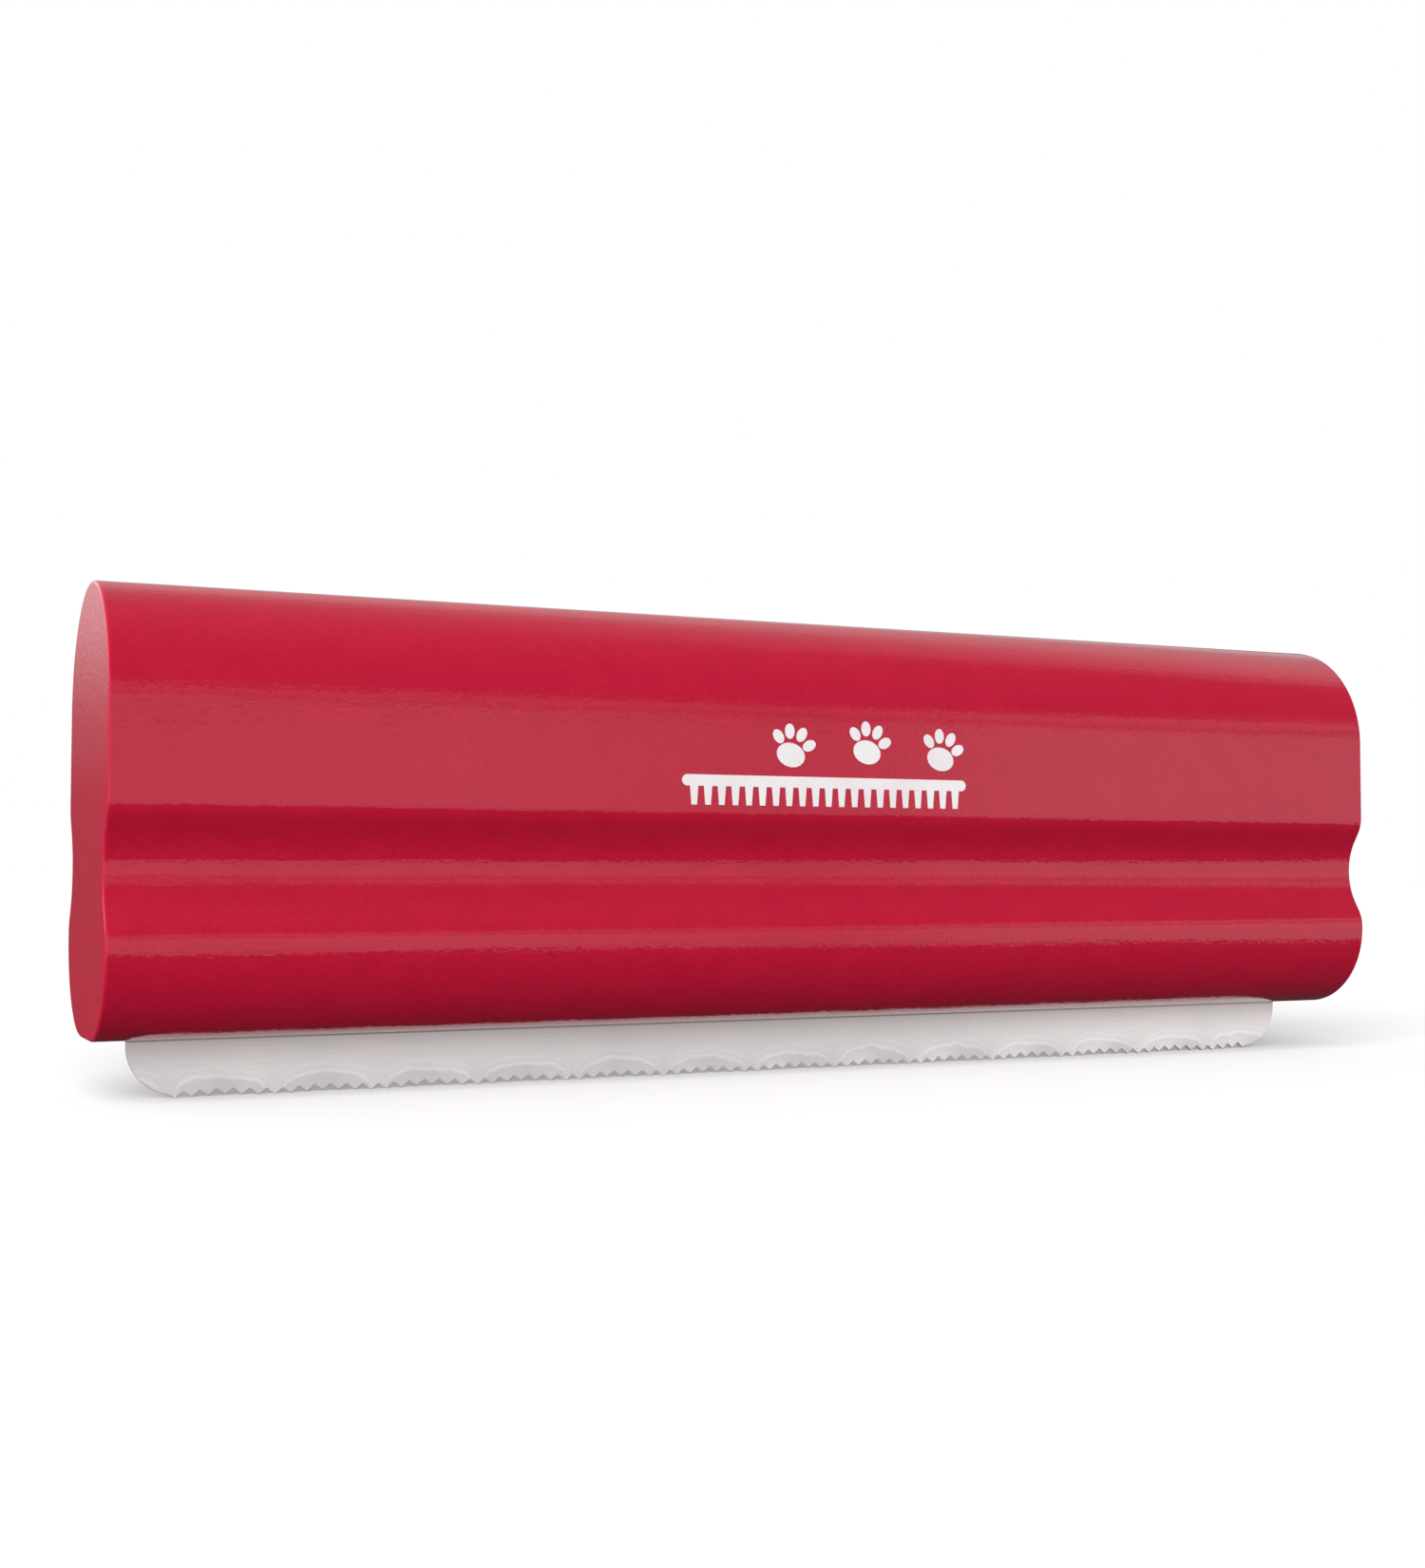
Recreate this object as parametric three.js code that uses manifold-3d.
// A hand-held de-shedding groomer: a bar of hardwood, painted gloss red, with a toothed steel
// strip along its underside.
//
// The handle is one length of moulded bar. Its section has a full half-round top, a flat band on
// each face, a finger groove under each band and large rounds down to a narrow flat underneath.
// A saw kerf, stopped short of both ends, runs along that flat. The blade's upper half, its tang,
// stands in the kerf on a bed of epoxy, which also fills the keying holes through the tang.
// The blade's lower edge is cut into fine teeth, then bent from side to side in a long wave, as
// the edge of a hacksaw blade is.
//
// Millimetres. X runs along the handle, -Y is the front and +Z is up. The origin is under the
// middle of the tool, on the surface that the teeth stand on.

import * as THREE from 'three';
import { mergeVertices } from 'three/addons/utils/BufferGeometryUtils.js';
import Module from 'manifold-3d';

const wasm = await Module();
wasm.setup();

// ---- Handle -------------------------------------------------------------------------------

const HANDLE_LENGTH = 228.6;
const HANDLE_HEIGHT = 67.7;
const HANDLE_THICKNESS = 37.5;
const BOTTOM_LAND = 8.5; // width of the flat underneath
const GROOVE_RISE = 24.85; // from the handle's underside to the groove's deepest line
const GROOVE_DEPTH = 3.375;
const GROOVE_RADIUS = 10.83;
const GROOVE_SLOPE = THREE.MathUtils.degToRad(31.4); // lean of the groove's straight sides
const CREST_FILLET = 5.7; // rounds the groove's lower lip
const BAND_FILLET = 5.4; // rounds the groove's upper lip
const END_EASE = 0.45; // sanded round of the sawn ends' edges

// ---- Blade --------------------------------------------------------------------------------

const BLADE_INSET = 5.9; // from each end of the handle to the blade
const BLADE_THICKNESS = 0.64;
const BLADE_DROP = 9.14; // height of steel below the handle
const TANG_DEPTH = 8.0; // height of steel inside the handle
const BLADE_CORNER = 7.5; // radius of the two lower corners
const CORNER_LIFT = 0.5; // the corners' lowest point, above the tooth tips
const CORNER_TOE = 0.7; // length of the outer flank of the first and last tooth

const TOOTH_PITCH = 2.495;
const TOOTH_DEPTH = 0.9;
const TIP_LAND = 0.12; // width left at each tooth tip
const GULLET_COUNT = 81;
const TOOTH_ROW_SHIFT = -0.13; // the punched row sits a little left of the middle

const WAVE_TEETH = 6.5; // tooth pitches in one whole wave
const WAVE_SWING = 0.25; // how far the tips move out, each way
const WAVE_LIFT = 0.28; // how far the edge is drawn up where it swings to the back
const WAVE_HEIGHT = 4.2; // height of the bent zone above the tips
const WAVE_FRONT_X = -5.1; // a place where the edge swings furthest to the front
const WAVE_ROWS = 4;

const KEY_HOLE_COUNT = 6;
const KEY_HOLE_RADIUS = 1.6;
const KEY_HOLE_SPACING = 38.0;
const KEY_HOLE_RISE = 4.2; // above the handle's underside

// ---- Kerf and its bed of epoxy ------------------------------------------------------------

const KERF_WIDTH = 1.5;
const KERF_DEPTH = 8.6;
const KERF_END_ROOM = 0.9; // kerf beyond each end of the blade
const BED_RECESS = 0.15; // the epoxy stops this far up the kerf
const SKIN_GAP = 0.06; // room kept between two solids that touch on the real tool

// ---- Values that follow from those --------------------------------------------------------

const FACET_ANGLE = THREE.MathUtils.degToRad(6);
const HALF_THICKNESS = HANDLE_THICKNESS / 2;
const BLADE_LENGTH = HANDLE_LENGTH - 2 * BLADE_INSET;
const BLADE_HEIGHT = BLADE_DROP + TANG_DEPTH;
const KERF_LENGTH = BLADE_LENGTH + 2 * KERF_END_ROOM;
const WAVE_LENGTH = WAVE_TEETH * TOOTH_PITCH;
const CUT_MARGIN = 2.0; // how far a cutting shape runs past what it cuts

// ---- Solids: join and cut -----------------------------------------------------------------

function toSolid(geometry) {
  const bare = geometry.clone();
  bare.deleteAttribute('normal');
  bare.deleteAttribute('uv');
  const merged = mergeVertices(bare, 1e-4);
  return new wasm.Manifold(
    new wasm.Mesh({
      numProp: 3,
      vertProperties: new Float32Array(merged.attributes.position.array),
      triVerts: new Uint32Array(merged.index.array),
    }),
  );
}

function toGeometry(solid) {
  const mesh = solid.getMesh();
  const geometry = new THREE.BufferGeometry();
  geometry.setAttribute('position', new THREE.BufferAttribute(mesh.vertProperties, 3));
  geometry.setIndex(new THREE.BufferAttribute(mesh.triVerts, 1));
  geometry.computeVertexNormals();
  return geometry;
}

// A box given by its middle in X and Y, and by its lowest and highest Z.
function standingBox(length, width, lowZ, highZ) {
  const box = new THREE.BoxGeometry(length, width, highZ - lowZ);
  box.translate(0, 0, (lowZ + highZ) / 2);
  return box;
}

// Points along an arc, from one angle to another, both included.
function arc(centreX, centreY, radius, from, to) {
  const steps = Math.max(2, Math.ceil(Math.abs(to - from) / FACET_ANGLE));
  const points = [];
  for (let step = 0; step <= steps; step += 1) {
    const angle = from + ((to - from) * step) / steps;
    points.push(
      new THREE.Vector2(centreX + radius * Math.cos(angle), centreY + radius * Math.sin(angle)),
    );
  }
  return points;
}

// ---- Handle -------------------------------------------------------------------------------

// Distance from a sharp corner to where a fillet of this radius meets the straight.
function filletRun(radius) {
  return radius * Math.tan(GROOVE_SLOPE / 2);
}

// The back half of the section, from the bottom land up to the top of the half-round.
function handleHalfSection() {
  const bottomRadius = HALF_THICKNESS - BOTTOM_LAND / 2;
  const grooveCentre = HALF_THICKNESS - GROOVE_DEPTH + GROOVE_RADIUS;
  const sideTop = grooveCentre - GROOVE_RADIUS * Math.cos(GROOVE_SLOPE);
  const sideRise = (HALF_THICKNESS - sideTop) / Math.tan(GROOVE_SLOPE);
  const grooveReach = GROOVE_RADIUS * Math.sin(GROOVE_SLOPE) + sideRise;
  const crestCentreZ = GROOVE_RISE - grooveReach - filletRun(CREST_FILLET);
  const bandCentreZ = GROOVE_RISE + grooveReach + filletRun(BAND_FILLET);
  return [
    ...arc(BOTTOM_LAND / 2, bottomRadius, bottomRadius, -Math.PI / 2, 0),
    ...arc(HALF_THICKNESS - CREST_FILLET, crestCentreZ, CREST_FILLET, 0, GROOVE_SLOPE),
    ...arc(grooveCentre, GROOVE_RISE, GROOVE_RADIUS, Math.PI + GROOVE_SLOPE, Math.PI - GROOVE_SLOPE),
    ...arc(HALF_THICKNESS - BAND_FILLET, bandCentreZ, BAND_FILLET, -GROOVE_SLOPE, 0),
    ...arc(0, HANDLE_HEIGHT - HALF_THICKNESS, HALF_THICKNESS, 0, Math.PI / 2),
  ];
}

function handleBar() {
  const back = handleHalfSection();
  const front = back
    .slice(0, -1)
    .reverse()
    .map((point) => new THREE.Vector2(-point.x, point.y));
  const bar = new THREE.ExtrudeGeometry(new THREE.Shape([...back, ...front]), {
    depth: HANDLE_LENGTH - 2 * END_EASE,
    bevelEnabled: true,
    bevelThickness: END_EASE,
    bevelSize: END_EASE,
    bevelOffset: -END_EASE,
    bevelSegments: 2,
  });
  const sectionToHandle = new THREE.Matrix4().makeBasis(
    new THREE.Vector3(0, 1, 0),
    new THREE.Vector3(0, 0, 1),
    new THREE.Vector3(1, 0, 0),
  );
  bar.applyMatrix4(sectionToHandle);
  bar.translate(END_EASE - HANDLE_LENGTH / 2, 0, BLADE_DROP);
  return bar;
}

function handleGeometry() {
  const kerf = standingBox(KERF_LENGTH, KERF_WIDTH, BLADE_DROP - CUT_MARGIN, BLADE_DROP + KERF_DEPTH);
  return toGeometry(toSolid(handleBar()).subtract(toSolid(kerf)));
}

// ---- Blade --------------------------------------------------------------------------------

// How far the blade is bent in Y at a place on its middle plane.
function waveSet(x, z) {
  const bent = THREE.MathUtils.clamp(1 - z / WAVE_HEIGHT, 0, 1);
  const growth = bent * bent * (3 - 2 * bent);
  return -WAVE_SWING * growth * Math.cos((2 * Math.PI * (x - WAVE_FRONT_X)) / WAVE_LENGTH);
}

// How much higher the toothed edge is at a place than where it swings to the front.
function edgeLift(x) {
  return (WAVE_LIFT * (1 - Math.cos((2 * Math.PI * (x - WAVE_FRONT_X)) / WAVE_LENGTH))) / 2;
}

// The plain strip, already bent: rows of vertices close together in the bent zone, and one tall
// row above it.
function bentStrip() {
  const columns = Math.round(BLADE_LENGTH / (TOOTH_PITCH / 2));
  const rows = WAVE_ROWS + 1;
  const strip = new THREE.BoxGeometry(BLADE_LENGTH, BLADE_THICKNESS, rows, columns, 1, rows);
  const place = strip.attributes.position;
  for (let index = 0; index < place.count; index += 1) {
    const row = Math.round(place.getZ(index) + rows / 2);
    const z = row > WAVE_ROWS ? BLADE_HEIGHT : (WAVE_HEIGHT * row) / WAVE_ROWS;
    place.setZ(index, z);
    place.setY(index, place.getY(index) + waveSet(place.getX(index), z));
  }
  return strip;
}

// What is cut away below the blade's outline: both lower corners, and the gullets between teeth.
function bladeWaste() {
  const halfLength = BLADE_LENGTH / 2;
  const cornerZ = CORNER_LIFT + BLADE_CORNER;
  const cornerX = halfLength - BLADE_CORNER;
  const tipDip = (TIP_LAND * TOOTH_DEPTH) / (TOOTH_PITCH - TIP_LAND);
  const firstTipX = TOOTH_ROW_SHIFT - (GULLET_COUNT / 2) * TOOTH_PITCH;
  const lastTipX = TOOTH_ROW_SHIFT + (GULLET_COUNT / 2) * TOOTH_PITCH;
  const leftStop = Math.PI + Math.acos((CORNER_TOE - firstTipX - cornerX) / BLADE_CORNER);
  const rightStop = -Math.acos((lastTipX + CORNER_TOE - cornerX) / BLADE_CORNER);

  const outline = [
    new THREE.Vector2(-halfLength - CUT_MARGIN, -CUT_MARGIN),
    new THREE.Vector2(-halfLength - CUT_MARGIN, cornerZ),
    ...arc(-cornerX, cornerZ, BLADE_CORNER, Math.PI, leftStop),
  ];
  for (let gullet = 0; gullet < GULLET_COUNT; gullet += 1) {
    const tipX = firstTipX + gullet * TOOTH_PITCH;
    const gulletX = tipX + TOOTH_PITCH / 2;
    outline.push(new THREE.Vector2(tipX, edgeLift(tipX) - tipDip));
    outline.push(new THREE.Vector2(gulletX, edgeLift(gulletX) + TOOTH_DEPTH));
  }
  outline.push(
    new THREE.Vector2(lastTipX, edgeLift(lastTipX) - tipDip),
    ...arc(cornerX, cornerZ, BLADE_CORNER, rightStop, 0),
    new THREE.Vector2(halfLength + CUT_MARGIN, cornerZ),
    new THREE.Vector2(halfLength + CUT_MARGIN, -CUT_MARGIN),
  );

  const waste = new THREE.ExtrudeGeometry(new THREE.Shape(outline), {
    depth: 2 * (WAVE_SWING + CUT_MARGIN),
    bevelEnabled: false,
  });
  waste.translate(0, 0, -(WAVE_SWING + CUT_MARGIN));
  waste.rotateX(Math.PI / 2);
  return waste;
}

// Pegs along Y, one through each keying hole.
function keyPegs(radius) {
  const pegs = [];
  for (let hole = 0; hole < KEY_HOLE_COUNT; hole += 1) {
    const peg = new THREE.CylinderGeometry(radius, radius, KERF_WIDTH - 2 * SKIN_GAP, 20);
    const x = (hole - (KEY_HOLE_COUNT - 1) / 2) * KEY_HOLE_SPACING;
    peg.translate(x, 0, BLADE_DROP + KEY_HOLE_RISE);
    pegs.push(toSolid(peg));
  }
  return pegs;
}

function bladeGeometry() {
  let blade = toSolid(bentStrip()).subtract(toSolid(bladeWaste()));
  for (const hole of keyPegs(KEY_HOLE_RADIUS)) {
    blade = blade.subtract(hole);
  }
  return toGeometry(blade);
}

// ---- Epoxy --------------------------------------------------------------------------------

function adhesiveGeometry() {
  const lowZ = BLADE_DROP + BED_RECESS;
  const bed = standingBox(
    KERF_LENGTH - 2 * SKIN_GAP,
    KERF_WIDTH - 2 * SKIN_GAP,
    lowZ,
    BLADE_DROP + KERF_DEPTH - SKIN_GAP,
  );
  const tangRoom = standingBox(
    BLADE_LENGTH + 2 * SKIN_GAP,
    BLADE_THICKNESS + 2 * SKIN_GAP,
    lowZ - CUT_MARGIN,
    BLADE_HEIGHT + SKIN_GAP,
  );
  let adhesive = toSolid(bed).subtract(toSolid(tangRoom));
  for (const peg of keyPegs(KEY_HOLE_RADIUS - SKIN_GAP)) {
    adhesive = adhesive.add(peg);
  }
  return toGeometry(adhesive);
}

// ---- Assembly -----------------------------------------------------------------------------

function piece(name, geometry, finish) {
  const mesh = new THREE.Mesh(geometry, new THREE.MeshStandardMaterial(finish));
  mesh.name = name;
  return mesh;
}

const groomer = new THREE.Group();
groomer.add(
  piece('handle', handleGeometry(), { color: 0xb5213b, roughness: 0.22, metalness: 0.0 }),
  piece('blade', bladeGeometry(), { color: 0xcfc9c8, roughness: 0.35, metalness: 1.0 }),
  piece('adhesive', adhesiveGeometry(), { color: 0xcdb98c, roughness: 0.5, metalness: 0.0 }),
);

export default groomer;
